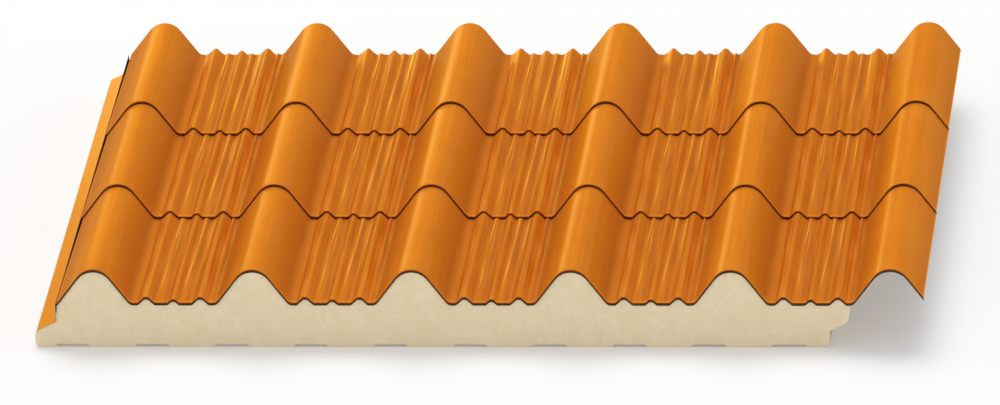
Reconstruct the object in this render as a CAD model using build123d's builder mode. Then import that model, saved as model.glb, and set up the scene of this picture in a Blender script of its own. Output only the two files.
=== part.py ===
"""Insulated roof panel with a tile-profile outer sheet: a stepped painted steel sheet, a rigid
foam core and a shallow-ribbed inner sheet, bonded into one panel.

Units are millimetres. X runs across the panel towards the lap rib, Y runs up the slope from the
nose of the lowest tile course, and Z points out of the roof. The panel lies on its underside, and
the origin is the bottom centre of its bounding box.
"""

import os
from math import cos, radians, sin, tan

from build123d import *

# Layout of the tiles
rib_pitch = 200.0
core_ribs = 5
course_length = 350.0
courses = 3
nose_drop = 4.0

# Heights above the underside
panel_thickness = 60.0
rib_height = 43.5
outer_thickness = 0.6
inner_thickness = 0.4

# Round rib
crest_radius = 25.0
flank_angle = 52.5
foot_radius = 8.0

# Small stiffening ribs on the valley floor
small_rib_spacing = 34.0
small_rib_height = 7.6
small_rib_top = 4.5
middle_rib_height = 4.6
middle_rib_top = 4.0
small_rib_angle = 42.0
small_rib_radius = 2.6

# Lap rib, which goes over the first rib of the next panel
lap_clearance = 0.5
lap_edge_height = 7.0

# Underlap side, left of the first rib
wall_offset = 49.0
wall_join = 5.0
wall_overlap = 6.0
flange_drop = 26.5
flange_width = 24.0
flange_fall = 12.0
flange_hem = 2.0
flange_inset = 2.0
bend_radius = 1.5

# Foam end at the lap side, with the rebate for the next panel's tongue
joint_gap = 1.5
side_draft = 3.0
rebate_radius = 4.0
core_setback = 3.0
cut_clearance = 10.0

# Inner sheet: shallow ribs and turned-up edges
land_pitch = 100.0
land_width = 56.0
land_depth = 3.0
land_ramp = 2.5
land_shift = 22.0
land_radius = 1.2
edge_chamfer = 5.0
edge_upstand = 16.0

# Places worked out from the sizes above, with X counted from the first crest
panel_length = courses * course_length
lap_crest = core_ribs * rib_pitch
low_level = panel_thickness - nose_drop
flank_slope = tan(radians(flank_angle))
apex_height = rib_height + crest_radius * (1 / cos(radians(flank_angle)) - 1)
rib_half = apex_height / flank_slope
lap_step = (outer_thickness + lap_clearance) / sin(radians(flank_angle))
lap_end = lap_crest + rib_half + lap_step - lap_edge_height / flank_slope
wall_rise = (rib_half - wall_offset) * flank_slope
wall_top = low_level - wall_join
flange_inner = panel_thickness - flange_drop
flange_outer = flange_inner - flange_fall
flange_edge = wall_offset + flange_width
tongue_end = flange_edge + flange_inset
lower_end = lap_crest - tongue_end - joint_gap
upper_end = lap_crest - wall_offset - joint_gap
core_top = panel_thickness + rib_height
cut_top = core_top + nose_drop + cut_clearance
shift_x = (lap_end - tongue_end) / 2
course_places = [(0, k * course_length, 0) for k in range(courses)]


def section_plane(y):
    """A plane across the panel, at a distance from the nose end, that shows the first crest at 0."""
    return Plane(origin=(-shift_x, y - panel_length / 2, 0), x_dir=(1, 0, 0), z_dir=(0, -1, 0))


def small_rib(centre, height, top):
    """Distance and height of the four bends of a small rib, the farther side first."""
    run = height / tan(radians(small_rib_angle))
    far_side = centre + top / 2
    near_side = centre - top / 2
    return [(far_side + run, 0), (far_side, height), (near_side, height), (near_side - run, 0)]


def half_valley(foot):
    """Distance from the crest and height of each bend, from mid valley to a rib's foot."""
    middle = rib_pitch / 2
    bends = [(middle, middle_rib_height)]
    bends += small_rib(middle, middle_rib_height, middle_rib_top)[2:]
    bends += small_rib(middle - small_rib_spacing, small_rib_height, small_rib_top)
    return bends + [(foot, 0)]


half_valley_radii = [small_rib_radius] * 6 + [foot_radius]


def outer_chains():
    """Corners and bend radii of the outer face at the nose, one chain for each round rib."""
    level = panel_thickness
    chains = []
    for k in range(core_ribs + 1):
        crest = k * rib_pitch
        step = lap_step if k == core_ribs else 0
        half = half_valley(rib_half + step)
        left = [(crest - distance, level + height) for distance, height in half]
        right = [(crest + distance, level + height) for distance, height in reversed(half)]
        left_radii = half_valley_radii
        right_radii = half_valley_radii[::-1]
        if k == 0:
            wall_foot = level - wall_join - wall_overlap
            left = [(-wall_offset, wall_foot), (-wall_offset, level + wall_rise)]
            left_radii = [bend_radius]
        if k == core_ribs:
            right = [(lap_end, level + lap_edge_height)]
            right_radii = []
        apex = (crest, level + apex_height + step * flank_slope)
        radius = crest_radius + step * sin(radians(flank_angle))
        chains.append((left + [apex] + right, left_radii + [radius] + right_radii))
    return chains


def parallel(corners, distance):
    """Moves an open chain of corners sideways, to its left if the distance is positive."""
    points = [Vector(*corner) for corner in corners]
    normals = []
    for start, end in zip(points, points[1:]):
        along = (end - start).normalized()
        normals.append(Vector(-along.Y, along.X))
    before = [normals[0]] + normals
    after = normals + [normals[-1]]
    moved = []
    for point, first, second in zip(points, before, after):
        mitre = (first + second) / (1 + first.dot(second))
        moved.append(point + mitre * distance)
    return moved


def parallel_radii(corners, radii, distance):
    """Bend radii of the moved chain: smaller inside a bend and larger outside it."""
    points = [Vector(*corner) for corner in corners]
    moved = []
    for start, corner, end, radius in zip(points, points[1:], points[2:], radii):
        turn = (corner - start).cross(end - corner).Z
        moved.append(radius - distance if turn > 0 else radius + distance)
    return moved


def close_between(first, second):
    """Joins the ends of two open lines by straight lines."""
    Line(first @ 0, second @ 0)
    Line(first @ 1, second @ 1)


# Bent lines of the outer sheet at a nose: its face, and its underside one thickness inside
with BuildLine() as outer_line:
    for corners, radii in outer_chains():
        FilletPolyline(*corners, radius=radii)

with BuildLine() as under_line:
    for corners, radii in outer_chains():
        FilletPolyline(
            *parallel(corners, -outer_thickness),
            radius=parallel_radii(corners, radii, -outer_thickness),
        )


nose_face = outer_line.wire()
nose_under = under_line.wire()
back_under = nose_under.moved(Location((0, -nose_drop, 0)))
course_run = Vector(0, course_length - outer_thickness, -nose_drop)

# One tile course, sloping from its nose down to the next, with the nose pressed down at its front
with BuildPart() as tile_course:
    with BuildSketch(section_plane(outer_thickness)):
        with BuildLine():
            add([nose_face, nose_under])
            close_between(nose_face, nose_under)
        make_face()
    extrude(amount=course_run.length, dir=course_run.normalized())
    with BuildSketch(section_plane(0)):
        with BuildLine():
            add([nose_face, back_under])
            close_between(nose_face, back_under)
        make_face()
    extrude(amount=-outer_thickness)

# Side wall below the first rib's foot, and the sloping flange that the next panel lies over
side_corners = [
    (-wall_offset, wall_top),
    (-wall_offset, flange_inner),
    (-flange_edge, flange_outer),
    (-flange_edge, flange_outer - flange_hem),
]
side_radii = [bend_radius, bend_radius]
side_back = parallel(side_corners, outer_thickness)
side_back_radii = parallel_radii(side_corners, side_radii, outer_thickness)

with BuildPart() as side_flange:
    with BuildSketch(section_plane(0)):
        with BuildLine():
            close_between(
                FilletPolyline(*side_corners, radius=side_radii),
                FilletPolyline(*side_back, radius=side_back_radii),
            )
        make_face()
    extrude(amount=-panel_length)

# Outer sheet: the courses and the side flange, rolled and pressed from one sheet
with BuildPart() as outer_sheet:
    add(side_flange.part)
    with Locations(*course_places):
        add(tile_course.part)
outer_sheet.part.label = "outer_sheet"


def land_corners():
    """Bends of the inner sheet's lower face: low lands with shallow raised strips between."""
    corners = []
    half = land_width / 2
    centre = land_shift - land_pitch
    while centre - half < lower_end:
        corners += [
            (centre - half - land_ramp, land_depth),
            (centre - half, 0),
            (centre + half, 0),
            (centre + half + land_ramp, land_depth),
        ]
        centre += land_pitch
    clear = 2 * edge_chamfer
    return [(x, z) for x, z in corners if clear - tongue_end < x < lower_end - clear]


edge_corners = [
    (-tongue_end, edge_upstand),
    (-tongue_end, edge_chamfer),
    (-tongue_end + edge_chamfer, 0),
    *land_corners(),
    (lower_end - edge_chamfer, 0),
    (lower_end, edge_chamfer),
    (lower_end, edge_upstand),
]
edge_radii = [land_radius] * (len(edge_corners) - 2)
inner_back = parallel(edge_corners, inner_thickness)
inner_back_radii = parallel_radii(edge_corners, edge_radii, inner_thickness)

# Inner sheet: one bent sheet with shallow ribs, its edges turned up round the foam
with BuildPart() as inner_sheet:
    with BuildSketch(section_plane(core_setback)):
        with BuildLine():
            close_between(
                FilletPolyline(*edge_corners, radius=edge_radii),
                FilletPolyline(*inner_back, radius=inner_back_radii),
            )
        make_face()
    extrude(amount=-(panel_length - core_setback))
inner_sheet.part.label = "inner_sheet"


def rebate_height(x):
    """Height of the rebate's ceiling, one gap above the next panel's flange."""
    fall = flange_fall / flange_width
    gap = joint_gap * (1 + fall**2) ** 0.5
    return flange_inner + gap - fall * (lap_crest - wall_offset - x)


# Space over the courses, which the foam is cut to
with BuildPart() as over_courses:
    roof_left = Vector(-wall_offset, cut_top)
    roof_right = Vector(lap_end, cut_top)
    for y, edge in ((outer_thickness, nose_under), (0, back_under)):
        with BuildSketch(section_plane(y)):
            with BuildLine():
                add(edge)
                corner = Vector(-wall_offset, (edge @ 0).Y)
                Polyline(edge @ 0, corner, roof_left, roof_right, edge @ 1)
            make_face()
        if y > 0:
            extrude(amount=course_run.length, dir=course_run.normalized())
        else:
            extrude(amount=-outer_thickness)

# Foam core: fills the panel between its two sheets, with a rebated end at the lap side
with BuildPart() as foam_core:
    with BuildSketch(section_plane(core_setback)):
        with BuildLine():
            bottom = FilletPolyline(*inner_back, radius=inner_back_radii)
            lower_side = (bottom @ 1).X
            nose_side = upper_end - side_draft
            rebate = FilletPolyline(
                bottom @ 1,
                (lower_side, rebate_height(lower_side)),
                (nose_side, rebate_height(nose_side)),
                (upper_end, low_level),
                (upper_end, core_top),
                radius=[bend_radius, rebate_radius, bend_radius],
            )
            flange_back = FilletPolyline(*side_back, radius=side_back_radii)
            Polyline(rebate @ 1, ((flange_back @ 0).X, core_top), flange_back @ 0)
            Line(flange_back @ 1, bottom @ 0)
        make_face()
    extrude(amount=-(panel_length - core_setback))
    with Locations(*course_places):
        add(over_courses.part, mode=Mode.SUBTRACT)
foam_core.part.label = "foam_core"

os.makedirs("parts", exist_ok=True)
for piece in (outer_sheet, foam_core, inner_sheet):
    export_step(piece.part, f"parts/{piece.part.label}.step")
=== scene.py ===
"""Looks of the insulated roof panel: a tile-profile steel sheet over cream foam, on a pale floor.

Sizes are in millimetres and turn to metres where a mesh is made. X is counted from the first crest
towards the lap rib and Y from the nose of the lowest course up the slope, until `Layout.place` puts
them in the panel's own frame.
"""

from __future__ import annotations

import logging
import math
from dataclasses import dataclass
from enum import Enum

import bpy
import numpy as np
from mathutils import Matrix, Vector
from mathutils.geometry import delaunay_2d_cdt


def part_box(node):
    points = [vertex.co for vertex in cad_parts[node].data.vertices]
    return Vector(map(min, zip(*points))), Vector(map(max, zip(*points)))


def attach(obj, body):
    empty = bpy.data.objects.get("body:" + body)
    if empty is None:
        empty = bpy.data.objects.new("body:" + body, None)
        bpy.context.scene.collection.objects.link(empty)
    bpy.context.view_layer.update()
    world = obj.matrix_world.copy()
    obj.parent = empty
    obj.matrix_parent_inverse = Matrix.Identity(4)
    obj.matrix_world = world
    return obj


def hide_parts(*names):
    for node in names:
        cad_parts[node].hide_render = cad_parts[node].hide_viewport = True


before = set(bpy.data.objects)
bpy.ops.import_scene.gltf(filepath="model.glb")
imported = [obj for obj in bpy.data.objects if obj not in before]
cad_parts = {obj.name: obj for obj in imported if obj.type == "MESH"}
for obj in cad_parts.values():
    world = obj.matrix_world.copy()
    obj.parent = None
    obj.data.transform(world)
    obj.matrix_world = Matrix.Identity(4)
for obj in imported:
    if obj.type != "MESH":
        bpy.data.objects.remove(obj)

Array = np.ndarray
MM = 0.001
BODY = "root"
LOG = logging.getLogger("roof_panel")

# Values at the sheet's points that its finishes read. The first goes from 0 in the open to 1
# where a riser's painted shade is darkest. The second goes from -1 for painted shade to 1 for a
# painted highlight, where the paint is also glossier.
SHADE_FALL = "fall"
SHADE_AND_SHEEN = "tone"

# Bends sharper than this keep a hard edge in the shading.
SHARP_BEND = math.radians(38)


class Skin(Enum):
    """Which finish a face of the steel sheet has; the value is its material's place in the mesh."""

    PAINT = 0
    # Painted shade: dark brown that stands for the shade in the risers, the crease and the flange's rim.
    PAINTED_SHADE = 1
    BACKING = 2
    CUT = 3


def linear(hex_colour: str) -> tuple[float, float, float, float]:
    """Turns an sRGB hex colour to linear light.

    Args:
        hex_colour: Six hex digits, with or without a leading hash.

    Returns:
        Linear red, green and blue, and an alpha of 1.
    """
    digits = hex_colour.lstrip("#")
    srgb = np.array([int(digits[i : i + 2], 16) for i in (0, 2, 4)]) / 255
    light = np.where(srgb <= 0.04045, srgb / 12.92, ((srgb + 0.055) / 1.055) ** 2.4)
    return (*light.tolist(), 1.0)


def add_node(tree: bpy.types.NodeTree, kind: str, inputs: dict | None = None, **settings) -> bpy.types.Node:
    """Adds one node with its settings, plain input values and links.

    Args:
        tree: Node tree that gets the node.
        kind: Blender's name of the node type.
        inputs: Input name or index to a value, or to the output socket that feeds it.
        **settings: Properties of the node itself.

    Returns:
        The new node.
    """
    made = tree.nodes.new(kind)
    for key, value in settings.items():
        setattr(made, key, value)
    for key, value in (inputs or {}).items():
        if isinstance(value, bpy.types.NodeSocket):
            tree.links.new(value, made.inputs[key])
        else:
            made.inputs[key].default_value = value
    return made


def new_material(name: str) -> tuple[bpy.types.Material, bpy.types.NodeTree]:
    """Makes an empty node material.

    Args:
        name: Name of the material.

    Returns:
        The material and its node tree.
    """
    material = bpy.data.materials.new(name)
    material.use_nodes = True
    material.node_tree.nodes.clear()
    return material, material.node_tree


def per_mm(size: float) -> float:
    """Scale of a pattern on coordinates in metres whose features are this many millimetres apart."""
    return 1.0 / (size * MM)


@dataclass(frozen=True)
class Tint:
    """A colour that shows over a finish's base colour where a pattern's value is high.

    Attributes:
        colour: The colour, in sRGB hex.
        start: The pattern's value where it starts to show.
        full: The pattern's value where it shows most.
        share: How much of it shows there.
    """

    colour: str
    start: float = 0.0
    full: float = 1.0
    share: float = 1.0


def tinted(
    tree: bpy.types.NodeTree, base: str, tints: list[tuple[bpy.types.NodeSocket, Tint]]
) -> bpy.types.NodeSocket:
    """Lays tints over a base colour, one after the other.

    Args:
        tree: Node tree that gets the nodes.
        base: Base colour, in sRGB hex.
        tints: Each tint, after the pattern that it follows.

    Returns:
        The colour's socket.
    """
    colour = linear(base)
    for pattern, tint in tints:
        share = add_node(
            tree, "ShaderNodeMapRange",
            {"Value": pattern, "From Min": tint.start, "From Max": tint.full, "To Max": tint.share},
        )
        mixed = add_node(
            tree, "ShaderNodeMix",
            {0: share.outputs[0], 6: colour, 7: linear(tint.colour)},
            data_type="RGBA",
        )
        colour = mixed.outputs[2]
    return colour


@dataclass(frozen=True)
class Finish:
    """A finish of the panel, with its pattern fixed to the piece.

    Attributes:
        name: Name of its material.
    """

    name: str

    def surface(self, tree: bpy.types.NodeTree, place: bpy.types.NodeSocket) -> dict:
        """Adds the finish's own nodes.

        Args:
            tree: Node tree that gets the nodes.
            place: Coordinates on the piece, in metres.

        Returns:
            The surface shader's inputs, by name.
        """
        raise NotImplementedError

    def build(self) -> bpy.types.Material:
        """Builds the material."""
        material, tree = new_material(self.name)
        place = add_node(tree, "ShaderNodeTexCoord").outputs["Object"]
        shader = add_node(tree, "ShaderNodeBsdfPrincipled", self.surface(tree, place))
        add_node(tree, "ShaderNodeOutputMaterial", {"Surface": shader.outputs[0]})
        return material


@dataclass(frozen=True)
class CoilCoating(Finish):
    """Coil-coated steel: a satin polyester paint baked on flat steel before it is roll-formed.

    To the eye it is one even colour with a soft sheen, faint lengthwise roll marks that catch the
    light, and a very slight orange-peel skin.

    Attributes:
        colour: Base colour.
        deep: Colour of the broad darker patches.
        pale: Colour of the pale roll marks.
        roughness: Roughness of the satin paint.
        flake: Share of metal flakes in it.
        edge: Tint of the sheen.
        specular: Strength of the sheen of its clear binder.
        clear: Weight of the clear coat.
        highlight_colour: Colour of the painted highlight lines, where the paint is also glossier.
        highlight_share: How much of it they show.
        shade_colour: Colour of the painted shade.
        tone_patch: Size of the broad patches.
        roll_mark: Distance across from one roll mark to the next.
        roll_mark_length: Length of a roll mark.
        skin_grain: Size of the skin's grain.
    """

    colour: str
    deep: str
    pale: str
    roughness: float
    flake: float = 0.0
    edge: str = "#FFFFFF"
    specular: float = 0.0
    clear: float = 0.0
    highlight_colour: str = "#F6B75C"
    highlight_share: float = 0.72
    shade_colour: str = "#A05024"
    tone_patch: float = 140.0
    roll_mark: float = 3.2
    roll_mark_length: float = 260.0
    skin_grain: float = 2.6

    def surface(self, tree: bpy.types.NodeTree, place: bpy.types.NodeSocket) -> dict:
        """Adds lengthwise marks, broad patches, painted highlights on glossier paint, painted shade and a
        fine skin.
        """
        stretch = (per_mm(self.roll_mark), per_mm(self.roll_mark_length), per_mm(4 * self.roll_mark))
        along = add_node(tree, "ShaderNodeMapping", {"Vector": place, "Scale": stretch})
        marks = add_node(
            tree, "ShaderNodeTexNoise",
            {"Vector": along.outputs[0], "Scale": 1.0, "Detail": 3.0, "Roughness": 0.6},
        ).outputs["Fac"]
        patches = add_node(
            tree, "ShaderNodeTexNoise",
            {"Vector": place, "Scale": per_mm(self.tone_patch), "Detail": 2.0, "Roughness": 0.5},
        ).outputs["Fac"]
        tone = add_node(tree, "ShaderNodeAttribute", attribute_name=SHADE_AND_SHEEN).outputs["Fac"]
        layers = [
            (patches, Tint(self.deep, start=0.40, full=0.70, share=0.5)),
            (marks, Tint(self.pale, start=0.48, full=0.72, share=0.55)),
            # Painted shade below 0 and painted highlight above 0, read from the sheet's points.
            (tone, Tint(self.shade_colour, full=-1.0)),
            (tone, Tint(self.highlight_colour, share=self.highlight_share)),
        ]
        satin = add_node(
            tree, "ShaderNodeMapRange",
            {
                "Value": marks, "From Min": 0.3, "From Max": 0.7,
                "To Min": self.roughness - 0.04, "To Max": self.roughness + 0.05,
            },
        )
        gloss = add_node(
            tree, "ShaderNodeMapRange",
            {"Value": tone, "To Min": satin.outputs[0], "To Max": 0.7 * self.roughness},
        )
        grain = add_node(
            tree, "ShaderNodeTexNoise",
            {"Vector": place, "Scale": per_mm(self.skin_grain), "Detail": 1.0},
        )
        normal = {}
        for height, strength, depth in ((marks, 0.3, 0.08), (grain.outputs["Fac"], 0.25, 0.05)):
            bump = {"Height": height, "Strength": strength, "Distance": depth * MM, **normal}
            normal = {"Normal": add_node(tree, "ShaderNodeBump", bump).outputs[0]}
        return {
            "Base Color": tinted(tree, self.colour, layers), "Roughness": gloss.outputs[0],
            "Metallic": self.flake, "Specular Tint": linear(self.edge),
            "Specular IOR Level": self.specular, "IOR": 1.5,
            "Coat Weight": self.clear, "Coat Roughness": 0.18, **normal,
        }


@dataclass(frozen=True)
class PaintedRiserShade(Finish):
    """Painted shade: a dull brown in place of the orange paint in the riser under a nose and in the crease
    of the first rib's foot.

    It stands for the shade there and reads as a dull dark brown line with paler mottled places.

    Attributes:
        dark: Colour of the painted shade at the riser's foot.
        shade_brown: Colour of the paler places of the painted shade.
        patch: Size of the paler places.
        roughness: Roughness of the paint there.
    """

    name: str = "painted_riser_shade"
    dark: str = "#1E0E05"
    shade_brown: str = "#6E3510"
    patch: float = 22.0
    roughness: float = 0.7

    def surface(self, tree: bpy.types.NodeTree, place: bpy.types.NodeSocket) -> dict:
        """Adds the dull brown, darkest at the riser's foot, with a soft mottle."""
        fall = add_node(tree, "ShaderNodeAttribute", attribute_name=SHADE_FALL).outputs["Fac"]
        mottle = add_node(
            tree, "ShaderNodeTexNoise",
            {"Vector": place, "Scale": per_mm(self.patch), "Detail": 4.0, "Roughness": 0.6},
        )
        patchy = add_node(
            tree, "ShaderNodeMapRange",
            {
                "Value": mottle.outputs["Fac"], "From Min": 0.35, "From Max": 0.68,
                "To Min": -0.15, "To Max": 0.2,
            },
        )
        share = add_node(tree, "ShaderNodeMath", {0: fall, 1: patchy.outputs[0]}, operation="ADD")
        return {
            "Base Color": tinted(tree, self.shade_brown, [(share.outputs[0], Tint(self.dark))]),
            "Roughness": self.roughness, "Specular IOR Level": 0.2,
        }


@dataclass(frozen=True)
class CutEdge(Finish):
    """Sheared edge of hot-dip galvanised steel: bright grey zinc smeared over the bare cut.

    Attributes:
        zinc: Colour of the zinc.
        steel: Colour of the bare steel.
        smear: Distance from one smear to the next.
        smear_length: Length of a smear.
    """

    name: str = "galvanised_cut_edge"
    zinc: str = "#B9BBB8"
    steel: str = "#8E9192"
    smear: float = 1.5
    smear_length: float = 14.0

    def surface(self, tree: bpy.types.NodeTree, place: bpy.types.NodeSocket) -> dict:
        """Adds short smears of zinc along the cut."""
        stretch = (per_mm(self.smear_length), per_mm(self.smear_length), per_mm(self.smear))
        along = add_node(tree, "ShaderNodeMapping", {"Vector": place, "Scale": stretch})
        smears = add_node(
            tree, "ShaderNodeTexNoise", {"Vector": along.outputs[0], "Scale": 1.0, "Detail": 3.0}
        )
        colour = tinted(tree, self.steel, [(smears.outputs["Fac"], Tint(self.zinc))])
        return {"Base Color": colour, "Metallic": 1.0, "Roughness": 0.42}


@dataclass(frozen=True)
class SawnFoam(Finish):
    """Rigid polyurethane foam, sawn: matt cream with fine open cells and slow cloudy tone changes.

    Attributes:
        colour: Base colour.
        pale: Colour of the clouds.
        tan: Colour of the flecks.
        cloud: Size of the clouds.
        fleck: Size of the flecks.
        cell: Size of the open cells.
        cell_depth: Depth of the open cells.
    """

    name: str = "sawn_rigid_foam"
    colour: str = "#E3D2AF"
    pale: str = "#E9D9B9"
    tan: str = "#D9C6A0"
    cloud: float = 26.0
    fleck: float = 6.0
    cell: float = 1.6
    cell_depth: float = 0.35

    def surface(self, tree: bpy.types.NodeTree, place: bpy.types.NodeSocket) -> dict:
        """Adds clouds, flecks and a bump of small open cells."""
        clouds = add_node(
            tree, "ShaderNodeTexNoise",
            {"Vector": place, "Scale": per_mm(self.cloud), "Detail": 3.0, "Roughness": 0.55},
        )
        flecks = add_node(
            tree, "ShaderNodeTexNoise",
            {"Vector": place, "Scale": per_mm(self.fleck), "Detail": 3.0, "Roughness": 0.65},
        )
        cells = add_node(
            tree, "ShaderNodeTexVoronoi",
            {"Vector": place, "Scale": per_mm(self.cell), "Randomness": 1.0},
        )
        layers = [
            (clouds.outputs["Fac"], Tint(self.pale, start=0.4, full=0.66, share=0.7)),
            (flecks.outputs["Fac"], Tint(self.tan, start=0.5, full=0.74, share=0.65)),
        ]
        depth = self.cell_depth * MM
        bump = add_node(
            tree, "ShaderNodeBump",
            {"Height": cells.outputs["Distance"], "Strength": 0.5, "Distance": depth},
        )
        return {
            "Base Color": tinted(tree, self.colour, layers), "Roughness": 0.92,
            "Specular IOR Level": 0.15, "Normal": bump.outputs[0],
        }


ORANGE = CoilCoating(
    name="orange_coil_coating",
    colour="#D77B21", deep="#CD6F1D", pale="#E08B29",
    roughness=0.42, flake=0.26, edge="#FFEC78", clear=0.035,
)
BACK_COAT = CoilCoating(
    name="grey_backing_coat",
    colour="#B9B4A8", deep="#ABA699", pale="#C6C2B7",
    roughness=0.55, specular=0.2,
)
INNER_COAT = CoilCoating(
    name="cream_coil_coating",
    colour="#DDCBA6", deep="#D3C09A", pale="#E6D6B4",
    roughness=0.5, specular=0.2,
)


@dataclass(frozen=True)
class Layout:
    """Sizes of the panel that its pieces share, in millimetres."""

    pitch: float = 200.0
    core_ribs: int = 5
    course: float = 350.0
    courses: int = 3
    drop: float = 4.0
    thickness: float = 60.0
    rib_height: float = 43.5
    sheet: float = 0.6
    crest_radius: float = 25.0
    flank_angle: float = math.radians(52.5)
    foot_radius: float = 8.0
    small_spacing: float = 34.0
    small_height: float = 7.6
    small_top: float = 4.5
    middle_height: float = 4.6
    middle_top: float = 4.0
    small_angle: float = math.radians(42.0)
    small_radius: float = 2.6
    lap_clearance: float = 0.5
    lap_edge_height: float = 7.0
    wall_offset: float = 49.0
    flange_drop: float = 26.5
    flange_width: float = 24.0
    flange_fall: float = 12.0
    flange_hem: float = 2.0
    bend_radius: float = 1.5
    joint_gap: float = 1.5
    side_draft: float = 3.0
    rebate_radius: float = 4.0
    core_setback: float = 3.0

    @property
    def length(self) -> float:
        """Length of the panel up the slope."""
        return self.course * self.courses

    @property
    def slope(self) -> float:
        """Rise over run of a rib's flank."""
        return math.tan(self.flank_angle)

    @property
    def apex(self) -> float:
        """Height over the valley where a rib's two flanks would meet."""
        return self.rib_height + self.crest_radius * (1 / math.cos(self.flank_angle) - 1)

    @property
    def rib_half(self) -> float:
        """Half width of a rib at the valley floor."""
        return self.apex / self.slope

    @property
    def lap_crest(self) -> float:
        """Place of the hollow lap rib's crest."""
        return self.core_ribs * self.pitch

    @property
    def lap_step(self) -> float:
        """How much wider each side of the lap rib is than a foamed rib."""
        return (self.sheet + self.lap_clearance) / math.sin(self.flank_angle)

    @property
    def lap_end(self) -> float:
        """Place of the lap rib's free edge."""
        return self.lap_crest + self.rib_half + self.lap_step - self.lap_edge_height / self.slope

    @property
    def low_level(self) -> float:
        """Height of the valley floor at the low end of a course."""
        return self.thickness - self.drop

    @property
    def flange_inner(self) -> float:
        """Height of the flange where it meets the side wall."""
        return self.thickness - self.flange_drop

    @property
    def flange_outer(self) -> float:
        """Height of the flange at its outer edge."""
        return self.flange_inner - self.flange_fall

    @property
    def flange_edge(self) -> float:
        """Distance of the flange's outer edge from the first crest."""
        return self.wall_offset + self.flange_width

    def place(self, x: Array, y: Array, z: Array) -> Array:
        """Turns places in millimetres to metres in the panel's own frame.

        The lap rib's free edge is set on the high X side of the CAD sheet's box, and the nose end
        on its low Y side.

        Args:
            x: Distance from the first crest.
            y: Distance from the nose of the lowest course.
            z: Height above the floor.

        Returns:
            The places, with X, Y and Z along the last axis.
        """
        low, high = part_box("outer_sheet")
        east = high[0] + (np.asarray(x) - self.lap_end) * MM
        north = low[1] + np.asarray(y) * MM
        return np.stack(np.broadcast_arrays(east, north, np.asarray(z) * MM), axis=-1)


def rounded_chain(corners: Array, radii: Array, steps: int = 9) -> Array:
    """Rounds the corners of an open chain of straight lines.

    Each arc's centre lies on the bisector of its corner, radius / sin(half angle) away, and the arc
    starts and ends radius / tan(half angle) from the corner.

    Args:
        corners: Corners of the chain, ends included, one per row.
        radii: Radius at each inner corner.
        steps: Points on each arc.

    Returns:
        Points of the rounded chain, one per row.
    """
    corner = corners[1:-1]
    back = corners[:-2] - corner
    ahead = corners[2:] - corner
    back /= np.linalg.norm(back, axis=1, keepdims=True)
    ahead /= np.linalg.norm(ahead, axis=1, keepdims=True)
    half = np.arccos(np.clip((back * ahead).sum(1), -1, 1)) / 2
    bisector = back + ahead
    bisector /= np.linalg.norm(bisector, axis=1, keepdims=True)
    centre = corner + bisector * (radii / np.sin(half))[:, None]
    reach = (radii / np.tan(half))[:, None]
    first = corner + back * reach - centre
    last = corner + ahead * reach - centre
    start = np.arctan2(first[:, 1], first[:, 0])
    sweep = np.arctan2(last[:, 1], last[:, 0]) - start
    sweep = (sweep + np.pi) % (2 * np.pi) - np.pi
    angle = start[:, None] + sweep[:, None] * np.linspace(0, 1, steps)
    arcs = centre[:, None] + radii[:, None, None] * np.stack([np.cos(angle), np.sin(angle)], -1)
    return np.concatenate([corners[:1], arcs.reshape(-1, 2), corners[-1:]])


def line_normals(points: Array) -> Array:
    """Unit normals to the left of a line of points, from the run between each one's neighbours."""
    run = np.gradient(points, axis=0)
    normals = np.stack([-run[:, 1], run[:, 0]], -1)
    return normals / np.linalg.norm(normals, axis=1, keepdims=True)


def smooth(share: Array) -> Array:
    """Smooth step of a share held from 0 to 1: three times its square less twice its cube."""
    share = np.clip(share, 0, 1)
    return share * share * (3 - 2 * share)


def make_piece(
    name: str,
    points: Array,
    faces: list[Array],
    skins: Array | None = None,
    shares: dict[str, Array] | None = None,
) -> bpy.types.Object:
    """Makes a mesh object at the origin from points in metres.

    Args:
        name: Name of the piece.
        points: Places, one per row.
        faces: Arrays of point numbers, each with one face per row.
        skins: Material place of every face, in the order of `faces`.
        shares: Values at every point that its finish reads, by name.

    Returns:
        The object, smooth shaded with its sharp bends kept.
    """
    mesh = bpy.data.meshes.new(name)
    polygons = [row for group in faces for row in group.tolist()]
    mesh.from_pydata(points.reshape(-1, 3).tolist(), [], polygons)
    if skins is not None:
        mesh.polygons.foreach_set("material_index", skins.astype(np.int32))
    for key, values in (shares or {}).items():
        mesh.attributes.new(key, "FLOAT", "POINT").data.foreach_set("value", values.ravel())
    mesh.polygons.foreach_set("use_smooth", np.ones(len(mesh.polygons), dtype=bool))
    mesh.set_sharp_from_angle(angle=SHARP_BEND)
    mesh.update()
    piece = bpy.data.objects.new(name, mesh)
    bpy.context.scene.collection.objects.link(piece)
    return piece


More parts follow.
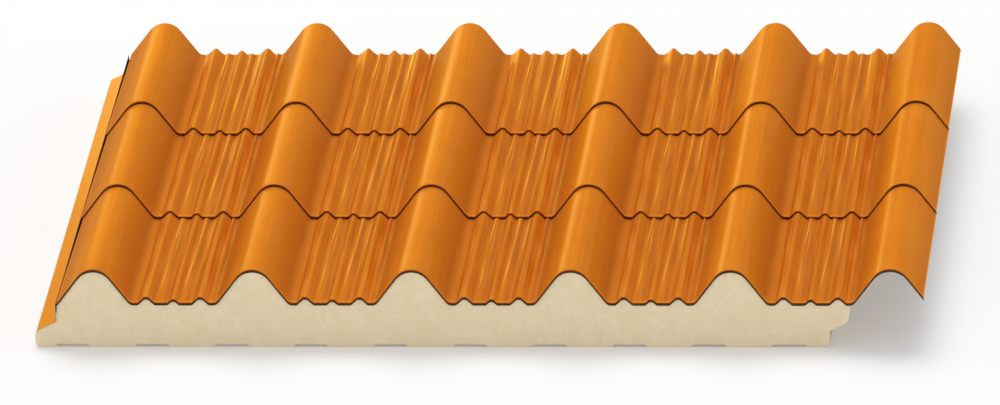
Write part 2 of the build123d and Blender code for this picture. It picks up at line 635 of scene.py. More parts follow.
def sheet_shell(
    name: str,
    face: Array,
    back: Array,
    skins: Array,
    first: Skin = Skin.CUT,
    rim: Skin = Skin.CUT,
    shares: dict[str, Array] | None = None,
) -> bpy.types.Object:
    """Makes a closed sheet from a grid of points on its face and one on its back.

    The two grids have the same rows, running along Y, and columns, running along the section. Four
    strips of quads close the sheet round its edge.

    Args:
        name: Name of the piece.
        face: Points of the face, by row, column and axis.
        back: Points of the back, by row, column and axis.
        skins: Material place of each quad of the face, by row and column.
        first: Finish of the edge along the first column.
        rim: Finish of the edge along the last column.
        shares: Values at each point of the face that its finish reads, by name.

    Returns:
        The finished piece.
    """
    rows, columns = face.shape[:2]
    front = np.arange(rows * columns).reshape(rows, columns)
    rear = front + rows * columns

    def quads(grid: Array) -> Array:
        """Quads of a grid, wound so that they face left of its rows and columns."""
        return np.stack([grid[:-1, :-1], grid[:-1, 1:], grid[1:, 1:], grid[1:, :-1]], -1).reshape(-1, 4)

    def strip(outer: Array, inner: Array) -> Array:
        """Quads between two matching edges."""
        return np.stack([outer[:-1], outer[1:], inner[1:], inner[:-1]], -1)

    edges = np.concatenate(
        [
            strip(front[0], rear[0])[:, ::-1],
            strip(front[-1], rear[-1]),
            strip(front[:, 0], rear[:, 0]),
            strip(front[:, -1], rear[:, -1])[:, ::-1],
        ]
    )
    skin = np.concatenate(
        [
            skins.ravel(),
            np.full(skins.size, Skin.BACKING.value),
            np.full(2 * (columns - 1), Skin.CUT.value),
            np.full(rows - 1, first.value),
            np.full(rows - 1, rim.value),
        ]
    )
    points = np.concatenate([face.reshape(-1, 3), back.reshape(-1, 3)])
    both = {key: np.stack([values, values]) for key, values in (shares or {}).items()}
    return make_piece(name, points, [quads(front), quads(rear)[:, ::-1], edges], skin, both)


@dataclass(frozen=True)
class Streak:
    """One pressed lengthwise ridge on the valley floor.

    Attributes:
        offset: Place across, from the middle of the valley.
        width: Distance from its top to where it is a third as high.
        height: Its height at the low end of the course.
        start: Distance from the nose where it starts to rise.
        rise: Length over which it rises to its height.
        wander: How far its line wanders from side to side.
    """

    offset: float
    width: float
    height: float
    start: float
    rise: float = 150.0
    wander: float = 0.5


STREAKS = (
    Streak(offset=-45.0, width=1.8, height=0.5, start=180.0),
    Streak(offset=-34.0, width=5.0, height=1.0, start=60.0, rise=260.0),
    Streak(offset=-23.2, width=1.4, height=0.6, start=70.0, wander=0.9),
    Streak(offset=-18.0, width=4.2, height=2.0, start=20.0, rise=200.0),
    Streak(offset=0.0, width=4.0, height=1.2, start=60.0, rise=240.0),
    Streak(offset=12.5, width=4.0, height=1.9, start=30.0, rise=190.0),
    Streak(offset=23.0, width=2.2, height=0.5, start=120.0),
    Streak(offset=34.0, width=5.0, height=0.9, start=60.0, rise=260.0),
    Streak(offset=47.5, width=2.8, height=1.9, start=50.0, rise=170.0),
    Streak(offset=54.0, width=1.6, height=0.7, start=140.0),
)


@dataclass(frozen=True)
class PaintedLine:
    """One lengthwise line on the valley floor: a painted highlight on glossier paint, or a line of painted
    shade.

    Attributes:
        offset: Place across at the nose, from the middle of the valley.
        drift: How far it moves across up to the low end of the course.
        width: Distance from its line to where it is a third as strong.
        share: Its strength.
        start: Distance from the nose where it starts.
        end: Distance from the nose where it starts to fade.
    """

    offset: float
    drift: float = 0.0
    width: float = 0.75
    share: float = 0.8
    start: float = -80.0
    end: float = 400.0


# Painted highlights along the valleys; the paint is also glossier there.
PAINTED_HIGHLIGHTS = (
    PaintedLine(offset=-39.6, share=1.0, width=1.5),
    PaintedLine(offset=-38.3, share=0.6, width=3.4),
    PaintedLine(offset=-29.0, share=0.22, width=4.0),
    PaintedLine(offset=-20.8, drift=2.5, share=0.95, start=30.0),
    PaintedLine(offset=-15.5, share=0.7, width=0.7, start=150.0),
    PaintedLine(offset=-4.5, share=0.8, width=0.9, start=90.0),
    PaintedLine(offset=3.8, share=0.25, width=3.0),
    PaintedLine(offset=9.3, drift=3.2, share=0.9, width=0.9, start=30.0),
    PaintedLine(offset=26.0, drift=-0.5, share=0.95, width=1.2, start=120.0),
    PaintedLine(offset=36.6, share=0.7, end=130.0),
    PaintedLine(offset=41.0, share=0.42, width=4.2),
    PaintedLine(offset=46.8, share=0.9, start=150.0),
)
# Lines of painted shade along the valleys.
PAINTED_SHADES = (
    PaintedLine(offset=-10.5, width=3.0, share=0.35),
    PaintedLine(offset=17.8, width=3.0, share=0.4),
    PaintedLine(offset=50.5, width=2.5, share=0.4),
)


@dataclass
class TileCourses:
    """The three tile courses of the outer sheet, each one sloping from its nose to the next.

    Attributes:
        layout: Shared sizes.
        rib_step: Distance between columns of points on a round rib.
        valley_step: Distance between columns of points on a valley floor.
        row_step: Distance between rows of points up the slope.
        nose_radius: Radius of the pressed nose.
        crease_top: Height of the crease's lip, where the first rib's flank ends.
        crease_floor: Height of the crease's floor.
        crease_gap: Width of the crease at the nose.
        crease_wall: Height of the crease's left side, beside the side wall.
        crease_draft: How far its left and right sides lean in towards its floor.
        crease_columns: Columns of points across the crease, left of the others.
        crease_shade: Strength of the painted shade in the crease, as a share.
        wall_space: Space between the side wall's back and the crease.
        steep_side: Width of a streak's steeper left side, as a share of its right side's.
        ripple: Height of the fine lines between the streaks.
        ripple_waves: Distances across the valley from one fine line to the next.
        seed: Seed of the fine lines' phases.
        shine_ease: Length over which a line of painted highlight or painted shade comes in and fades.
        shade_start: Distance from a crest where painted shade starts to show on the flank.
        valley_shade: How much darker the painted shade makes the valley floor, as a share.
        foot_shade: How much darker it makes the ribs' feet.
        edge_highlight: How pale the lap rib's free edge is painted, as a painted highlight.
    """

    layout: Layout
    rib_step: float = 2.6
    valley_step: float = 0.95
    row_step: float = 7.5
    nose_radius: float = 1.0
    crease_top: float = 56.7
    crease_floor: float = 49.5
    crease_gap: float = 1.1
    crease_wall: float = 5.6
    crease_draft: tuple[float, float] = (0.05, 0.15)
    crease_columns: int = 4
    crease_shade: float = 0.9
    wall_space: float = 0.04
    steep_side: float = 0.62
    ripple: float = 0.09
    ripple_waves: tuple[float, ...] = (2.9, 3.7, 4.6, 6.1, 8.3)
    seed: int = 7
    shine_ease: float = 70.0
    shade_start: float = 18.0
    valley_shade: float = 0.3
    foot_shade: float = 0.4
    edge_highlight: float = 0.9

    def tile_line(self) -> Array:
        """Rounded section of the sheet's face, as distance from the first crest and height."""
        lay = self.layout
        reach = lay.pitch / 2

        def small(centre: float, height: float, top: float) -> list[tuple[float, float]]:
            """Distances from the crest and heights of a small rib's bends, far side first."""
            run = height / math.tan(lay.small_angle)
            far, near = centre + top / 2, centre - top / 2
            return [(far + run, 0), (far, height), (near, height), (near - run, 0)]

        bends = [(reach, lay.middle_height)]
        bends += small(reach, lay.middle_height, lay.middle_top)[2:]
        bends += small(reach - lay.small_spacing, lay.small_height, lay.small_top)
        half = np.array(bends)
        radii = np.array([lay.small_radius] * 6 + [lay.foot_radius])
        lines = []
        for k in range(lay.core_ribs + 1):
            crest = k * lay.pitch
            step = lay.lap_step if k == lay.core_ribs else 0.0
            foot = np.array([[lay.rib_half + step, 0.0]])
            side = np.concatenate([half, foot])
            left = side * (-1, 1) + (crest, 0)
            right = side[::-1] + (crest, 0)
            left_radii, right_radii = radii, radii[::-1]
            if k == 0:
                left = np.array([[-lay.wall_offset, (lay.rib_half - lay.wall_offset) * lay.slope]])
                left_radii = radii[:0]
            if k == lay.core_ribs:
                right = np.array([[lay.lap_end, lay.lap_edge_height]])
                right_radii = radii[:0]
            apex = np.array([[crest, lay.apex + step * lay.slope]])
            crest_radius = lay.crest_radius + step * math.sin(lay.flank_angle)
            chain = np.concatenate([left, apex, right])
            lines.append(rounded_chain(chain, np.concatenate([left_radii, [crest_radius], right_radii])))
        return np.concatenate(lines)

    def columns(self) -> Array:
        """Places across the sheet of its columns of points, right of the crease."""
        lay = self.layout
        rib_reach = lay.rib_half + lay.foot_radius * 0.6
        rib = np.linspace(-rib_reach, rib_reach, round(2 * rib_reach / self.rib_step) + 1)
        floor = lay.pitch - 2 * rib_reach
        valley = np.linspace(0, floor, round(floor / self.valley_step) + 1)[1:-1] + rib_reach
        crests = np.arange(lay.core_ribs + 1) * lay.pitch
        on_ribs = (crests[:, None] + rib).ravel()
        on_floors = (crests[:-1, None] + valley).ravel()
        places = np.sort(np.concatenate([on_ribs, on_floors]))
        first, last = self.crease_edge(1.0) + 1.0, lay.lap_end - 0.8
        return np.append(places[(places > first) & (places < last)], lay.lap_end)

    def crease_edge(self, share: float | Array) -> float | Array:
        """Place of the crease's right lip, where the falling flank meets a level line.

        Args:
            share: How far along the course, from 0 at the nose to 1 at its low end.

        Returns:
            Distance from the first crest, negative to its left.
        """
        lay = self.layout
        rim = lay.wall_offset - lay.sheet
        level = lay.thickness - lay.drop * share
        edge = -(lay.rib_half + (level - self.crease_top) / lay.slope)
        return np.maximum(edge, self.crease_gap - rim)

    def relief(self, x: Array, along: Array) -> Array:
        """Height of the pressed streaks over the plain section.

        Each streak is a bell across its line, steeper on the left, which wanders by a slow sine and
        rises smoothly along the course. Fine lines are a sum of sines across the valley whose phase
        drifts slowly along it. All fade out at the rib's foot, and all valleys are stamped alike.

        Args:
            x: Distance from the first crest.
            along: Distance from the course's nose.

        Returns:
            Heights in millimetres.
        """
        lay = self.layout
        across = self.across(x)
        total = np.zeros(np.broadcast(x, along).shape)
        for number, streak in enumerate(STREAKS):
            rise = smooth((along - streak.start) / streak.rise)
            line = streak.offset + streak.wander * np.sin(along / 47.0 + 1.9 * number)
            away = (across - line) / streak.width
            away = np.where(away < 0, away / self.steep_side, away)
            total = total + streak.height * rise * np.exp(-away * away)
        chance = np.random.default_rng(self.seed)
        lines = np.zeros_like(total)
        for wave in self.ripple_waves:
            phase, drift, beat = chance.uniform(0, 2 * np.pi, 3)
            turn = 1.6 * np.sin(along / 60.0 + drift) + 0.5 * np.sin(along / 23.0 + beat)
            lines = lines + np.sin(2 * np.pi * across / wave + phase + turn)
        share = np.clip(along / (0.6 * lay.course), 0, 1)
        total = total + self.ripple * lines * share
        edge = np.clip((lay.pitch / 2 - lay.rib_half + 4.0 - np.abs(across)) / 8.0, 0, 1)
        return np.where(self.inside(x), total * edge, 0.0)

    def inside(self, x: Array) -> Array:
        """Whether places lie between the first rib's right foot and the lap rib's left foot."""
        lay = self.layout
        return (x > lay.rib_half) & (x < lay.lap_crest - lay.rib_half)

    def across(self, x: Array) -> Array:
        """Distance from the middle of the valley that a place lies in, negative to its left."""
        half = self.layout.pitch / 2
        turned = (x + half) % self.layout.pitch - half
        return np.where(turned < 0, turned + half, turned - half)

    def lines(self, shines: tuple[PaintedLine, ...], x: Array, along: Array) -> Array:
        """Strength of a set of lengthwise lines, the strongest of them at each place.

        Each is a narrow bell across its line, which drifts and wanders slowly, comes in smoothly
        from its start and swells and fades by a slow sine.

        Args:
            shines: The lines.
            x: Distance from the first crest.
            along: Distance from the course's nose.

        Returns:
            Shares from 0 to 1.
        """
        across = self.across(x)
        total = np.zeros(np.broadcast(x, along).shape)
        for number, shine in enumerate(shines):
            line = shine.offset + shine.drift * along / self.layout.course
            line = line + 0.35 * np.sin(along / 61.0 + 2.3 * number)
            rise = (along - shine.start) / self.shine_ease
            fade = 1 - (along - shine.end) / self.shine_ease
            swell = 0.75 + 0.25 * np.sin(along / 29.0 + 1.3 * number)
            bell = np.exp(-(((across - line) / shine.width) ** 2))
            total = np.maximum(total, shine.share * smooth(np.minimum(rise, fade)) * swell * bell)
        return total

    def tone(self, x: Array, along: Array) -> Array:
        """Tone of the paint: painted highlight lines above 0, painted shade in lines and at the feet below
        0.

        Painted shade grows smoothly down the lower half of each rib's flanks and lies thinly over the
        floor.

        Args:
            x: Distance from the first crest.
            along: Distance from the course's nose.

        Returns:
            Tones from -1 to 1.
        """
        lay = self.layout
        inside = self.inside(x)
        # Painted highlights: pale lines. Painted shade: darker lines, feet and floor.
        highlight = np.where(inside, self.lines(PAINTED_HIGHLIGHTS, x, along), 0.0)
        shade_lines = np.where(inside, self.lines(PAINTED_SHADES, x, along), 0.0)
        away = lay.pitch / 2 - np.abs(self.across(x))
        low = smooth((away - self.shade_start) / (lay.rib_half - 4.0 - self.shade_start))
        floor = np.clip((away - lay.rib_half) / 10.0, 0, 1)
        painted_shade = low * (self.foot_shade * (1 - floor) + self.valley_shade * floor) + shade_lines
        return highlight - (1 - highlight) * np.clip(painted_shade, 0, 1)

    def section(self, along: float | Array) -> tuple[Array, Array, Array, Array]:
        """Face and back of the sheet at one or more distances from a nose.

        Args:
            along: Distance from the nose, as a number or a column of them.

        Returns:
            X and Z of the face, then X and Z of the back, by row and column.
        """
        lay = self.layout
        along = np.atleast_1d(along).astype(float)[:, None]
        share = along / lay.course
        line = self.tile_line()
        x = self.columns()[None, :]
        level = lay.thickness - lay.drop * share
        height = np.interp(x, line[:, 0], line[:, 1])
        z = height + level + self.relief(x, along)
        x = np.broadcast_to(x, z.shape)
        lip = self.crease_edge(share)
        rim = np.full_like(lip, -(lay.wall_offset - lay.sheet) + self.wall_space)
        left, right = self.crease_draft
        crease_x = np.concatenate([rim, rim + left, lip - right, lip], 1)
        floor = np.full_like(lip, self.crease_floor)
        lip_height = level + (lay.rib_half + lip) * lay.slope
        crease_z = np.concatenate([floor + self.crease_wall, floor, floor, lip_height], 1)
        x = np.concatenate([crease_x, x], 1)
        z = np.concatenate([crease_z, z], 1)
        run_x, run_z = np.gradient(x, axis=1), np.gradient(z, axis=1)
        span = np.hypot(run_x, run_z)
        return x, z, x + lay.sheet * run_z / span, z - lay.sheet * run_x / span

    def build_course(self, number: int) -> bpy.types.Object:
        """Builds one course with its nose.

        Args:
            number: Which course, from 0 at the low end.

        Returns:
            The course's piece.
        """
        lay = self.layout
        start = number * lay.course
        down = np.array([1.0, 0.8, 0.6, 0.4, 0.2])[:, None]
        turn = np.linspace(0, np.pi / 2, 6)
        nose_y = self.nose_radius * (1 - np.cos(turn))
        nose_fall = self.nose_radius * (1 - np.sin(turn))
        count = round((lay.course - self.nose_radius) / self.row_step)
        rows = np.linspace(self.nose_radius, lay.course, count + 1)[1:]
        x0, z0, back_x0, back_z0 = self.section(0.0)
        x, z, back_x, back_z = self.section(rows)
        y = np.concatenate([np.zeros(len(down)), nose_y, rows])
        crease, inner = self.crease_columns, 0.2
        bottom = back_z0 - lay.drop
        bottom[:, :crease] = np.minimum(bottom[:, :crease], z0[:, :crease] - 1.0)
        shoulder = z0 - self.nose_radius
        riser = shoulder + (bottom - shoulder) * down
        face_z = np.concatenate([riser, z0 - nose_fall[:, None], z])
        face_x = np.concatenate([np.repeat(x0, len(down) + len(turn), 0), x])
        back_y = np.maximum(y, lay.sheet + inner * y)
        back_shoulder = back_z0 - inner * self.nose_radius
        back_riser = back_shoulder + (bottom - back_shoulder) * down
        under = np.concatenate([back_riser, back_z0 - inner * nose_fall[:, None], back_z])
        under_x = np.concatenate([np.repeat(back_x0, len(down) + len(turn), 0), back_x])
        face = lay.place(face_x, (start + y)[:, None], face_z)
        back = lay.place(under_x, (start + back_y)[:, None], under)
        skins = np.full((len(y) - 1, face.shape[1] - 1), Skin.PAINT.value)
        # Painted shade: the riser rows and the crease columns get the dark brown that stands for their
        # shade, darkest at the riser's foot.
        skins[: len(down)] = Skin.PAINTED_SHADE.value
        skins[:, : crease - 1] = Skin.PAINTED_SHADE.value
        fall = np.zeros(face.shape[:2])
        fall[: len(down)] = down
        fall[:, :crease] = self.crease_shade
        # Painted highlights and painted shade along the valleys, at the ribs' feet and over the floor.
        tone = np.zeros(face.shape[:2])
        tone[-len(rows) :, crease:] = self.tone(self.columns()[None, :], rows[:, None])
        # Painted highlight along the lap rib's free edge.
        tone[:, -1] = self.edge_highlight
        return sheet_shell(
            f"tile_course_{number + 1}", face, back, skins,
            first=Skin.PAINTED_SHADE, shares={SHADE_FALL: fall, SHADE_AND_SHEEN: tone},
        )

    def build(self) -> list[bpy.types.Object]:
        """Builds every course."""
        return [self.build_course(number) for number in range(self.layout.courses)]


@dataclass
class FoamBody:
    """Foam between the sheets, with its tongue under the flange and its rebate at the lap side.

    Attributes:
        layout: Shared sizes.
        tiles: The tile courses, whose underside the foam follows.
        bevel: Worn edge round each end.
        skin_gap: Space to the outer sheet inside the panel.
        end_gap: Space to it at the back end.
        side_clear: Space without points on top before the lap side.
        inner_sheet: Thickness of the sheet under the foam.
        tongue_end: Distance of the tongue's end from the first crest.
        upstand: Height of the inner sheet's edge up the tongue's end.
        chamfer: Width of the slope at the foam's two lower edges.
        land_pitch: Distance from one land underneath to the next.
        land_width: Width of a land.
        land_depth: How far the foam's lower face rises between the lands.
        land_ramp: Width of the slope beside a land.
        land_shift: Distance of the lands' middles from the crests.
        land_radius: Radius of the bends beside a land.
        rebate_end: Place of the rebate's upright face.
        nose_end: Place of the foam's lap side over the rebate.
        draft_top: How far below the low valley floor the lap side stops leaning.
    """

    layout: Layout
    tiles: TileCourses
    bevel: float = 0.3
    skin_gap: float = 0.35
    end_gap: float = 0.1
    side_clear: float = 1.6
    inner_sheet: float = 0.4
    tongue_end: float = 75.0
    upstand: float = 16.0
    chamfer: float = 5.0
    land_pitch: float = 100.0
    land_width: float = 56.0
    land_depth: float = 3.0
    land_ramp: float = 2.5
    land_shift: float = 22.0
    land_radius: float = 1.2
    rebate_end: float = 923.5
    nose_end: float = 949.5
    draft_top: float = 3.0

    def under_line(self) -> Array:
        """Line from the tongue along the foam's lower face and round the rebate to the lap side."""
        lay = self.layout
        centre = np.arange(self.land_shift - self.land_pitch, self.rebate_end, self.land_pitch)
        half, ramp, deep = self.land_width / 2, self.land_ramp, self.land_depth
        offset = np.array([[-half - ramp, deep], [-half, 0], [half, 0], [half + ramp, deep]])
        lands = (centre[:, None, None] * (1, 0) + offset).reshape(-1, 2)
        clear = 2 * self.chamfer
        lands = lands[(lands[:, 0] > clear - self.tongue_end) & (lands[:, 0] < self.rebate_end - clear)]
        fall = lay.flange_fall / lay.flange_width
        gap = lay.joint_gap * math.hypot(1, fall)

        def ceiling(x: float) -> float:
            """Height of the rebate's ceiling."""
            return lay.flange_inner + gap - fall * (lay.lap_crest - lay.wall_offset - x)

        inner = self.inner_sheet
        lower, nose = self.rebate_end - inner, self.nose_end - lay.side_draft
        top = lay.low_level - self.draft_top
        corners = np.concatenate(
            [
                [[inner - self.tongue_end, self.upstand], [inner - self.tongue_end, self.chamfer]],
                [[self.chamfer - self.tongue_end, inner]],
                lands + (0, inner),
                [[self.rebate_end - self.chamfer, inner], [lower, self.chamfer]],
                [[lower, ceiling(lower)], [nose, ceiling(nose)]],
                [[self.nose_end, top], [self.nose_end, lay.low_level + 20]],
            ]
        )
        radii = np.full(len(corners) - 2, self.land_radius)
        radii[-3:] = lay.bend_radius, lay.rebate_radius, lay.bend_radius
        return rounded_chain(corners, radii, steps=6)

    def side_line(self) -> Array:
        """Line under the side wall and the flange, from the sheet's underside to the tongue."""
        lay = self.layout
        wall, edge = -lay.wall_offset + lay.sheet, -lay.flange_edge + lay.sheet
        drop = lay.sheet * math.hypot(1, lay.flange_fall / lay.flange_width)
        corners = np.array(
            [
                [wall, self.tiles.crease_floor - 1.0],
                [wall, lay.flange_inner - drop],
                [edge, lay.flange_outer - drop],
                [edge, lay.flange_outer - lay.flange_hem],
                [self.inner_sheet - self.tongue_end, self.upstand],
            ]
        )
        return rounded_chain(corners, np.array([lay.bend_radius, 0.6, 0.4]), steps=5)[:-1]

    def ring(self, along: float, y: float, gap: float, inset: float = 0.0) -> Array:
        """One outline of the foam: under side, lap side, top and flange side, all the way round.

        Args:
            along: Distance from the course's nose, which sets the top's height.
            y: Distance from the panel's nose end.
            gap: Space to the sheet over it.
            inset: How far the outline lies inside the full one.

        Returns:
            Points with X, Y and Z along the last axis, in metres.
        """
        lay = self.layout
        _, _, x, z = self.tiles.section(along)
        held = (x[0] < self.nose_end - self.side_clear) & (x[0] > -lay.wall_offset + lay.sheet + 0.3)
        top = np.stack([x[0][held], z[0][held] - gap], -1)[::-1]
        end = np.interp(self.nose_end, x[0], z[0]) - gap
        corner = [[self.nose_end, end]]
        line = np.concatenate([self.under_line()[:-1], corner, top, self.side_line()])
        run = np.roll(line, -1, 0) - np.roll(line, 1, 0)
        normal = np.stack([-run[:, 1], run[:, 0]], -1) / np.hypot(*run.T)[:, None]
        line = line + inset * normal
        return lay.place(line[:, 0], y, line[:, 1])

    def cap(self, ring: Array, numbers: Array) -> Array:
        """Triangles that fill an end's outline, by constrained Delaunay triangulation.

        Args:
            ring: Places of the outline's points.
            numbers: Their numbers in the mesh.

        Returns:
            Point numbers of the triangles, which face the nose end.
        """
        outline = [Vector(place) for place in ring[:, (0, 2)].tolist()]
        inside_only = 1
        filled = delaunay_2d_cdt(outline, [], [list(range(len(outline)))], inside_only, 1e-9)
        first = np.array([group[0] for group in filled[3]])
        LOG.info("foam end: %d points, %d after filling", len(outline), len(first))
        return numbers[first[np.array(filled[2])]]

    def build(self) -> bpy.types.Object:
        """Builds the foam from outlines along Y, each joined to the next, with a face at each end.

        The outlines fall with each course and step up under the next nose.
        """
        lay = self.layout
        gap, front = self.skin_gap, lay.core_setback
        stops = [(front, front, gap, self.bevel), (front + self.bevel, front + self.bevel, gap, 0.0)]
        for number in range(lay.courses):
            start = number * lay.course
            if number:
                stops.append((0.0, start + lay.sheet + 0.4, gap, 0.0))
            stops.append((lay.course / 2, start + lay.course / 2, gap, 0.0))
            short = self.bevel if number == lay.courses - 1 else 0.0
            stops.append((lay.course, start + lay.course - short, gap, 0.0))
        stops.append((lay.course, lay.length, self.end_gap, self.bevel))
        rings = np.stack([self.ring(*stop) for stop in stops])
        count = rings.shape[1]
        grid = np.arange(rings.size // 3).reshape(len(stops), count)
        grid = np.concatenate([grid, grid[:, :1]], 1)
        sides = np.stack([grid[:-1, :-1], grid[:-1, 1:], grid[1:, 1:], grid[1:, :-1]], -1)
        walls = sides[:, :, ::-1].reshape(-1, 4)
        ends = [self.cap(rings[0], grid[0]), self.cap(rings[-1], grid[-1])[:, ::-1]]
        body = make_piece("foam_body", rings, [walls, *ends])
        smooth = np.arange(len(body.data.polygons)) < len(walls)
        body.data.polygons.foreach_set("use_smooth", smooth)
        return body


@dataclass
class SideFlange:
    """Side wall under the first rib's foot and the sloping flange that the next panel covers.

    Attributes:
        layout: Shared sizes.
        rim_height: Height of the wall's top rim.
        bow: How far the flange bows between its clamps, which gives the long soft glints.
        bow_length: Length of the bow's sine up the slope, for one radian.
        rows: Rows of points up the slope.
        flange_highlight: How far its paint is painted pale, as a painted highlight over the whole flange.
    """

    layout: Layout
    rim_height: float = 55.4
    bow: float = 0.25
    bow_length: float = 71.0
    rows: int = 90
    flange_highlight: float = 0.24

    def chain(self) -> tuple[Array, Array]:
        """Corners of the section from the hem up to the rim, and its bend radii."""
        lay = self.layout
        corners = np.array(
            [
                [-lay.flange_edge, lay.flange_outer - lay.flange_hem],
                [-lay.flange_edge, lay.flange_outer],
                [-lay.wall_offset, lay.flange_inner],
                [-lay.wall_offset, self.rim_height],
            ]
        )
        return corners, np.array([lay.bend_radius * 0.8, lay.bend_radius])

    def build(self) -> bpy.types.Object:
        """Builds the flange as one closed sheet, bowed by a slow sine up the slope."""
        lay = self.layout
        line = rounded_chain(*self.chain(), steps=7)
        spots = np.concatenate([[0.0], np.cumsum(np.hypot(*np.diff(line, axis=0).T))])
        even = np.union1d(spots, np.linspace(0, spots[-1], 24))
        line = np.stack([np.interp(even, spots, line[:, 0]), np.interp(even, spots, line[:, 1])], -1)
        normals = line_normals(line)
        y = np.linspace(0, lay.length, self.rows)
        span = np.clip((-line[:, 0] - lay.wall_offset) / lay.flange_width, 0, 1)
        bow = self.bow * np.sin(np.pi * span) * np.sin(y[:, None] / self.bow_length + 0.8)
        x = line[:, 0] + bow * normals[:, 0]
        z = line[:, 1] + bow * normals[:, 1]
        face = lay.place(x, y[:, None], z)
        back = lay.place(x - lay.sheet * normals[:, 0], y[:, None], z - lay.sheet * normals[:, 1])
        skins = np.full((len(y) - 1, len(even) - 1), Skin.PAINT.value)
        # Painted highlight over the whole flange; its rim along the wall's top gets painted shade.
        tone = np.full(face.shape[:2], self.flange_highlight)
        return sheet_shell("side_flange", face, back, skins, rim=Skin.PAINTED_SHADE, shares={SHADE_AND_SHEEN: tone})


@dataclass
class Studio:
    """Pale floor, soft light and the camera at the photograph's viewing angle.

    Attributes:
        layout: Shared sizes.
        azimuth: Camera's turn to the right of straight on.
        elevation: Camera's height over the horizon.
        roll: Camera's roll.
        distance: Camera's distance from its target, in metres.
        focal_pixels: Focal length in pixels of the picture.
        picture_width: Width of the picture in pixels.
        sensor: Width of the camera's sensor, in millimetres.
        clip: Nearest and furthest distance that the camera sees, in metres.
        aim: Place that the camera looks at, from the first crest, nose and floor.
        picture_offset: How far right and up of the aim the picture's middle lies, in pixels.
        floor_reach: Half width of the floor, in metres.
        zenith: Sky's brightness overhead.
        back_left: Its brightness at the back left.
        back_right: Its brightness at the back right.
        front_high: Its brightness high up in front.
        front_band: Brightness of the low band in front.
        paper_white: How far the floor shows its own white to the camera.
        sun_power: Strength of the key.
        sun_angle: Width of the key as seen from the panel, which softens its shadows.
        sun_from: Direction that the key comes from.
        strip_power: Power of the strip in watts.
        strip_size: Width and height of the strip in metres.
        strip_colour: Linear colour of the strip.
        strip_from: Direction that the strip's light comes from.
        strip_distance: Distance of the strip from the panel's middle in metres.
    """

    layout: Layout
    azimuth: float = math.radians(4.336)
    elevation: float = math.radians(17.796)
    roll: float = math.radians(1.314)
    distance: float = 23.027
    focal_pixels: float = 18000.0
    picture_width: float = 1000.0
    sensor: float = 36.0
    clip: tuple[float, float] = (0.5, 500.0)
    aim: tuple[float, float, float] = (500.0, 525.0, 55.4)
    picture_offset: tuple[float, float] = (20.377, 24.327)
    floor_reach: float = 60.0
    zenith: float = 0.82
    back_left: float = 0.94
    back_right: float = 1.12
    front_high: float = 0.28
    front_band: float = 1.78
    paper_white: float = 0.2
    sun_power: float = 1.38
    sun_angle: float = math.radians(45)
    sun_from: tuple[float, float, float] = (-0.12, 0.56, 0.82)
    strip_power: float = 13.5
    strip_size: tuple[float, float] = (0.9, 0.8)
    strip_colour: tuple[float, float, float] = (0.85, 1.0, 0.62)
    strip_from: tuple[float, float, float] = (-0.30, 0.95, 0.10)
    strip_distance: float = 4.0

    def camera(self) -> bpy.types.Object:
        """Sets the camera from its turn, height and roll about the aim."""
        a, e = self.azimuth, self.elevation
        back = Vector((math.sin(a) * math.cos(e), -math.cos(a) * math.cos(e), math.sin(e)))
        right = Vector((math.cos(a), math.sin(a), 0.0))
        up = back.cross(right)
        pixel = self.distance / self.focal_pixels
        aim = Vector(self.layout.place(*self.aim).tolist())
        aim -= right * self.picture_offset[0] * pixel + up * self.picture_offset[1] * pixel
        across = right * math.cos(self.roll) - up * math.sin(self.roll)
        upright = right * math.sin(self.roll) + up * math.cos(self.roll)
        data = bpy.data.cameras.new("photo_camera")
        data.sensor_width = self.sensor
        data.lens = self.sensor * self.focal_pixels / self.picture_width
        data.clip_start, data.clip_end = self.clip
        camera = bpy.data.objects.new("photo_camera", data)
        turn = Matrix((across, upright, back)).transposed().to_4x4()
        camera.matrix_world = Matrix.Translation(aim + back * self.distance) @ turn
        bpy.context.scene.collection.objects.link(camera)
        bpy.context.scene.camera = camera
        return camera

    def seen(self, tree: bpy.types.NodeTree) -> bpy.types.NodeSocket:
        """Adds the share that is 1 for rays that show a background: camera, glossy and transmission.

        Args:
            tree: Node tree that gets the nodes.

        Returns:
            The share's socket.
        """
        rays = add_node(tree, "ShaderNodeLightPath").outputs
        share = rays["Is Camera Ray"]
        for kind in ("Is Glossy Ray", "Is Transmission Ray"):
            either = {0: share, 1: rays[kind]}
            share = add_node(tree, "ShaderNodeMath", either, operation="MAXIMUM").outputs[0]
        return share

    def floor(self) -> bpy.types.Object:
        """Builds a wide pale floor that shows its own white to the camera and keeps shadows."""
        corners = np.array([[-1, -1, 0], [1, -1, 0], [1, 1, 0], [-1, 1, 0]]) * self.floor_reach
        corners[:, 2] = -0.05 * MM
        floor = make_piece("studio_floor", corners, [np.array([[0, 1, 2, 3]])])
        material, tree = new_material("studio_paper")
        paper = add_node(tree, "ShaderNodeBsdfDiffuse", {"Color": linear("#FCFCFC")})
        white = add_node(tree, "ShaderNodeEmission", {"Color": (1.0, 1.0, 1.0, 1.0), "Strength": 1.0})
        share = add_node(
            tree, "ShaderNodeMath", {0: self.seen(tree), 1: self.paper_white}, operation="MULTIPLY"
        )
        shader = add_node(
            tree, "ShaderNodeMixShader",
            {0: share.outputs[0], 1: paper.outputs[0], 2: white.outputs[0]},
        )
        add_node(tree, "ShaderNodeOutputMaterial", {"Surface": shader.outputs[0]})
        floor.data.materials.append(material)
        return floor

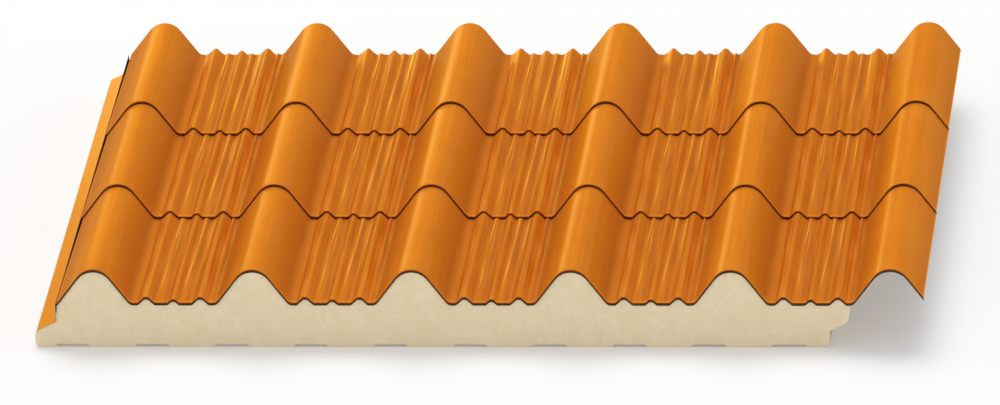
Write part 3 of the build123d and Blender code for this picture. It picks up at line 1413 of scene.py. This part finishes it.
    def sky(self) -> bpy.types.World:
        """Builds a white sky whose brightness depends on its direction.

        It is brightest at the back right, a little less bright at the back left and overhead, and
        dim high up in front. A bright low band in front, as from a reflector board, lights the
        upright foam. Rays that show the sky itself see plain white.
        """
        world = bpy.data.worlds.new("soft_sky")
        world.use_nodes = True
        tree = world.node_tree
        tree.nodes.clear()
        place = add_node(tree, "ShaderNodeTexCoord").outputs["Generated"]
        axes = add_node(tree, "ShaderNodeSeparateXYZ", {0: place}).outputs

        def ease(value: bpy.types.NodeSocket, start: float, end: float, low: float, high: float):
            """Smooth step of a value from `low` to `high` between two of its values."""
            step = add_node(
                tree, "ShaderNodeMapRange",
                {"Value": value, "From Min": start, "From Max": end, "To Min": low, "To Max": high},
                interpolation_type="SMOOTHSTEP",
            )
            return step.outputs[0]

        def mix(share: bpy.types.NodeSocket, first: bpy.types.NodeSocket, second: float):
            """Number that goes from the first to the second by a share."""
            return add_node(tree, "ShaderNodeMix", {0: share, 2: first, 3: second}).outputs[0]

        back = ease(axes["X"], 0.27, 0.6, self.back_left, self.back_right)
        side = mix(ease(axes["Y"], 0.35, -0.25, 0.0, 1.0), back, self.front_high)
        dome = mix(ease(axes["Z"], 0.68, 0.95, 0.0, 1.0), side, self.zenith)
        front = ease(axes["Y"], -0.1, -0.6, 0.0, self.front_band)
        low = ease(axes["Z"], 0.3, 0.55, 1.0, 0.0)
        board = add_node(tree, "ShaderNodeMath", {0: front, 1: low}, operation="MULTIPLY").outputs[0]
        total = add_node(tree, "ShaderNodeMath", {0: dome, 1: board}, operation="ADD").outputs[0]
        light = add_node(tree, "ShaderNodeBackground", {"Strength": total})
        white = add_node(tree, "ShaderNodeBackground", {"Strength": 1.0})
        shader = add_node(
            tree, "ShaderNodeMixShader",
            {0: self.seen(tree), 1: light.outputs[0], 2: white.outputs[0]},
        )
        add_node(tree, "ShaderNodeOutputWorld", {"Surface": shader.outputs[0]})
        bpy.context.scene.world = world
        return world

    def lights(self) -> None:
        """Adds a soft key from the upper back and a low tinted strip at the back for the sheen."""
        key = bpy.data.lights.new("key", "SUN")
        key.energy = self.sun_power
        key.angle = self.sun_angle
        lamp = bpy.data.objects.new("key", key)
        lamp.rotation_euler = Vector(self.sun_from).to_track_quat("Z", "Y").to_euler()
        bpy.context.scene.collection.objects.link(lamp)
        strip = bpy.data.lights.new("sheen_strip", "AREA")
        strip.shape = "RECTANGLE"
        strip.size, strip.size_y = self.strip_size
        strip.energy = self.strip_power
        strip.color = self.strip_colour
        lamp = bpy.data.objects.new("sheen_strip", strip)
        away = Vector(self.strip_from).normalized()
        lamp.location = away * self.strip_distance
        lamp.rotation_euler = away.to_track_quat("Z", "Y").to_euler()
        lamp.visible_camera = False
        bpy.context.scene.collection.objects.link(lamp)


def dress(piece: bpy.types.Object, slot: str, materials: list[bpy.types.Material], *nodes: str) -> None:
    """Gives a piece its finishes and body, and hides the CAD nodes that it stands for.

    Args:
        piece: The finished piece.
        slot: Material slot of the record. Not used.
        materials: Finishes in the order of the piece's material places.
        *nodes: CAD nodes that the piece replaces.
    """
    for material in materials:
        piece.data.materials.append(material)
    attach(piece, BODY)
    if nodes:
        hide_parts(*nodes)
    LOG.info("%s: %d faces", piece.name, len(piece.data.polygons))


def repaint(node: str, material: bpy.types.Material) -> None:
    """Gives a CAD node its finish and leaves its mesh as it is."""
    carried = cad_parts[node]
    carried.data.materials.clear()
    carried.data.materials.append(material)
    LOG.info("%s: kept, with %s", node, material.name)


def main() -> None:
    """Builds the panel's pieces and the studio in order."""
    logging.basicConfig(level=logging.INFO, format="%(message)s")
    bpy.context.scene.view_settings.view_transform = "Standard"
    layout = Layout()
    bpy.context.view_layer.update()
    steel = [ORANGE.build(), PaintedRiserShade().build(), BACK_COAT.build(), CutEdge().build()]
    tiles = TileCourses(layout)
    for course in tiles.build():
        dress(course, "outer_paint", steel, "outer_sheet")
    dress(SideFlange(layout).build(), "outer_paint", steel, "outer_sheet")
    dress(FoamBody(layout, tiles).build(), "foam", [SawnFoam().build()], "foam_core")
    repaint("inner_sheet", INNER_COAT.build())
    studio = Studio(layout)
    studio.floor()
    studio.sky()
    studio.lights()
    studio.camera()


if __name__ == "__main__":
    main()
